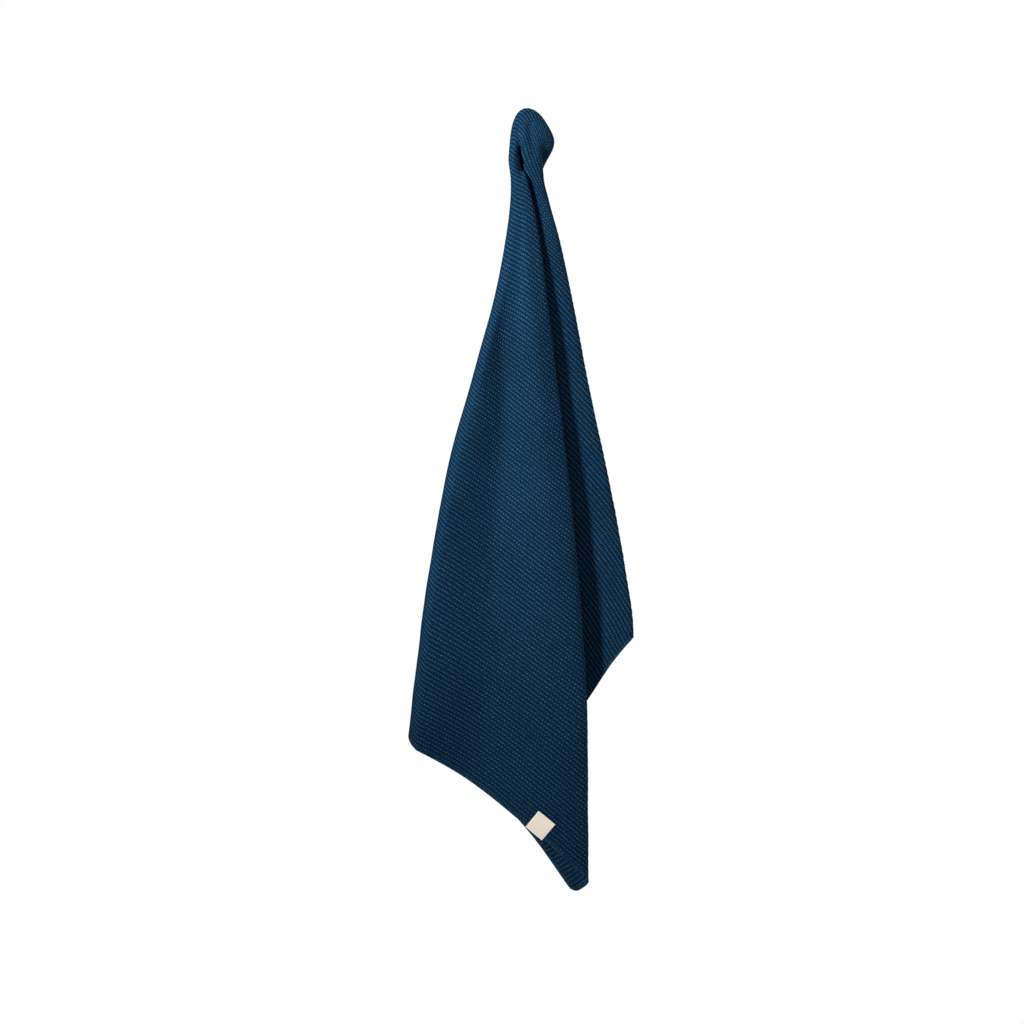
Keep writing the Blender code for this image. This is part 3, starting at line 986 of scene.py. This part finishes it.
    def edge_step(self, points: np.ndarray, row: int, stitch: int) -> Vector:
        """Find how far the edge's middle stands out past the two sides.

        Args:
            points: The middle of the cloth, by row and stitch.
            row: A row on the edge, or any row at the cloth's other edges.
            stitch: A stitch on the edge, or any.

        Returns:
            The step outwards, in millimetres.
        """
        step = Vector((0.0, 0.0, 0.0))
        here = Vector(points[row, stitch])
        if row in (0, self.rows):
            step += (here - Vector(points[1 if row == 0 else row - 1, stitch])).normalized()
        if stitch in (0, self.stitches):
            step += (here - Vector(points[row, 1 if stitch == 0 else stitch - 1])).normalized()
        return step * self.edge_round


@dataclass
class HemLabel:
    """A blank woven label, folded over the hem and lying close on both sides of it."""

    drape: Drape
    width: float = 17.4
    leaf: float = 18.5
    centre: float = 418.5
    thickness: float = 0.6
    clear: float = 1.3
    leaf_steps: int = 10
    across_steps: int = 10
    turn_steps: int = 10
    lift: float = 0.9
    lift_middle: float = 0.3
    lift_sides: float = 2.4
    soft_edge: float = 0.14
    uv_map = "tape"

    def path(self) -> list[tuple[float, float]]:
        """Lay out the label's path over the hem.

        Returns:
            For each step of it, how far along the cloth and how far off it, in millimetres.
        """
        end = self.drape.length
        leaf = [self.leaf * step / self.leaf_steps for step in range(1, self.leaf_steps + 1)]
        turns = [math.pi * step / self.turn_steps for step in range(self.turn_steps + 1)]
        front = [(end - back, self.clear) for back in reversed(leaf)]
        round_hem = [(end + self.clear * math.sin(turn), self.clear * math.cos(turn)) for turn in turns]
        return front + round_hem + [(end - back, -self.clear) for back in leaf]

    def build(self) -> bpy.types.Object:
        """Make the label.

        Returns:
            The label's object.
        """
        path = self.path()
        mesh = bmesh.new()
        bmesh.ops.create_grid(mesh, x_segments=len(path) - 1, y_segments=self.across_steps, size=1.0)
        places = mesh.loops.layers.uv.new(self.uv_map)
        walked = [0.0]
        for before, here in zip(path, path[1:]):
            walked.append(walked[-1] + math.dist(before, here))
        flat = {}
        for number, vertex in enumerate(mesh.verts):
            row, column = divmod(number, len(path))
            along, off = path[column]
            share = row / self.across_steps - 0.5
            across = self.centre + self.width * share
            here = self.drape.place(along, across)
            down = self.drape.place(along + 1.0, across) - here
            side = self.drape.place(along, across + 1.0) - here
            out = down.cross(side).normalized()
            back = (self.drape.length - along) / self.leaf
            if off > 0 and back > 0:
                off += self.lift * back * back * (self.lift_middle + share * share * self.lift_sides)
            vertex.co = (here + out * off) * MM
            flat[vertex] = (self.width * share * MM, walked[column] * MM)
        for face in mesh.faces:
            face.smooth = True
            for loop in face.loops:
                loop[places].uv = flat[loop.vert]
        label = as_object("woven_label", mesh)
        thick = label.modifiers.new("Tape thickness", "SOLIDIFY")
        thick.thickness = self.thickness * MM
        thick.offset = 0.0
        edge = label.modifiers.new("Soft edge", "BEVEL")
        edge.width = self.soft_edge * MM
        edge.segments = 2
        edge.limit_method = "ANGLE"
        return label


@dataclass
class Towel:
    """The whole towel: its cloth and its label, dressed and set on the frame."""

    drape: Drape = field(default_factory=Drape)

    def build(self) -> None:
        """Build and dress both pieces, set them on the root body and hide the imported solids they replace.
        """
        cloth = KnittedCloth(self.drape)
        sheet = cloth.build()
        for side in KnitSide:
            finish = KnitFinish(f"knit_{side.value}", side, cloth.stitch_width * MM, cloth.row_height * MM,
                                self.drape.width * MM, self.drape.length * MM)
            sheet.data.materials.append(finish.material())
        label = HemLabel(self.drape).build()
        label.data.materials.append(TapeFinish().material())
        for piece, node, slot in ((sheet, "towel_cloth", "knit"), (label, "hem_label", "label")):
            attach(piece, "root")
            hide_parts(node)
            LOG.info("%s: %d faces", piece.name, len(piece.data.polygons))


class Lamp(NamedTuple):
    """A light: where it stands and points, its size, its watts, and in degrees a spot's cone."""

    name: str
    place: Place
    aim: Place
    size: float
    power: float
    cone: float | None = None


@dataclass
class Studio:
    """The pale floor, the plain soft light and the camera, level and square on to the towel."""

    middle: Vector = field(default_factory=lambda: Vector((-0.0133, -0.012, -0.372)))
    distance: float = 2.617
    lens: float = 100.0
    sensor: float = 36.0
    lamps: tuple[Lamp, ...] = (
        Lamp("key", (-1.18, -1.42, 0.50), (0.0, 0.0, -0.04), 0.11, 410.0, 44.0),
        Lamp("fill", (1.40, -0.05, 0.10), (0.0, 0.0, -0.05), 0.7, 16.0),
        Lamp("back", (0.60, 1.60, 0.10), (0.0, 0.0, -0.38), 0.8, 90.0),
    )
    ambient: float = 0.05
    floor_level: float = -1.1
    floor_radius: float = 1.1
    floor_colour: Colour = (0.86, 0.86, 0.86)

    def build(self) -> None:
        """Set up all of it."""
        self.add_floor()
        for lamp in self.lamps:
            self.add_lamp(lamp)
        self.add_world()
        self.add_camera()

    def add_floor(self) -> None:
        """Add the pale floor, well below the towel."""
        mesh = bmesh.new()
        bmesh.ops.create_circle(mesh, cap_ends=True, segments=96, radius=self.floor_radius)
        bmesh.ops.translate(mesh, vec=(0.0, 0.0, self.floor_level), verts=mesh.verts[:])
        floor = as_object("floor", mesh)
        floor.data.materials.append(PlainFinish("pale_floor", self.floor_colour).material())

    @staticmethod
    def add_lamp(lamp: Lamp) -> None:
        """Add a light: a spot that fades out from what it points at, or a soft square one.

        Args:
            lamp: The light.
        """
        data = bpy.data.lights.new(lamp.name, "AREA" if lamp.cone is None else "SPOT")
        data.energy = lamp.power
        if lamp.cone is None:
            data.shape = "SQUARE"
            data.size = lamp.size
        else:
            data.spot_size = math.radians(lamp.cone)
            data.spot_blend = 1.0
            data.shadow_soft_size = lamp.size
        light = bpy.data.objects.new(lamp.name, data)
        light.location = lamp.place
        light.rotation_euler = (Vector(lamp.aim) - light.location).to_track_quat("-Z", "Y").to_euler()
        bpy.context.collection.objects.link(light)

    def add_world(self) -> None:
        """Make the surroundings white to look at, and dimmer as a light."""
        world = bpy.data.worlds.new("surroundings")
        bpy.context.scene.world = world
        world.use_nodes = True
        tree = world.node_tree
        shader = tree.nodes["Background"]
        shader.inputs["Color"].default_value = (1.0, 1.0, 1.0, 1.0)
        seen = tree.nodes.new("ShaderNodeLightPath")
        level = tree.nodes.new("ShaderNodeMapRange")
        level.inputs["To Min"].default_value = self.ambient
        level.inputs["To Max"].default_value = 1.0
        tree.links.new(seen.outputs["Is Camera Ray"], level.inputs["Value"])
        tree.links.new(level.outputs["Result"], shader.inputs["Strength"])

    def add_camera(self) -> None:
        """Add the camera and show colours as they are."""
        data = bpy.data.cameras.new("camera")
        data.lens = self.lens
        data.sensor_width = self.sensor
        camera = bpy.data.objects.new("camera", data)
        camera.location = self.middle - Vector((0.0, self.distance, 0.0))
        camera.rotation_euler = (math.pi / 2, 0.0, 0.0)
        bpy.context.collection.objects.link(camera)
        bpy.context.scene.camera = camera
        bpy.context.scene.view_settings.view_transform = "Standard"


def as_object(name: str, mesh: bmesh.types.BMesh) -> bpy.types.Object:
    """Turn a mesh under construction into an object at the origin, its faces pointing out.

    Args:
        name: The object's name.
        mesh: The mesh, which is freed.

    Returns:
        The object.
    """
    bmesh.ops.recalc_face_normals(mesh, faces=mesh.faces[:])
    data = bpy.data.meshes.new(name)
    mesh.to_mesh(data)
    mesh.free()
    piece = bpy.data.objects.new(name, data)
    bpy.context.collection.objects.link(piece)
    return piece


def main() -> None:
    """Build the towel on its frame, then the studio."""
    logging.basicConfig(level=logging.INFO, format="%(name)s %(message)s")
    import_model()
    Towel().build()
    Studio().build()


if __name__ == "__main__":
    main()
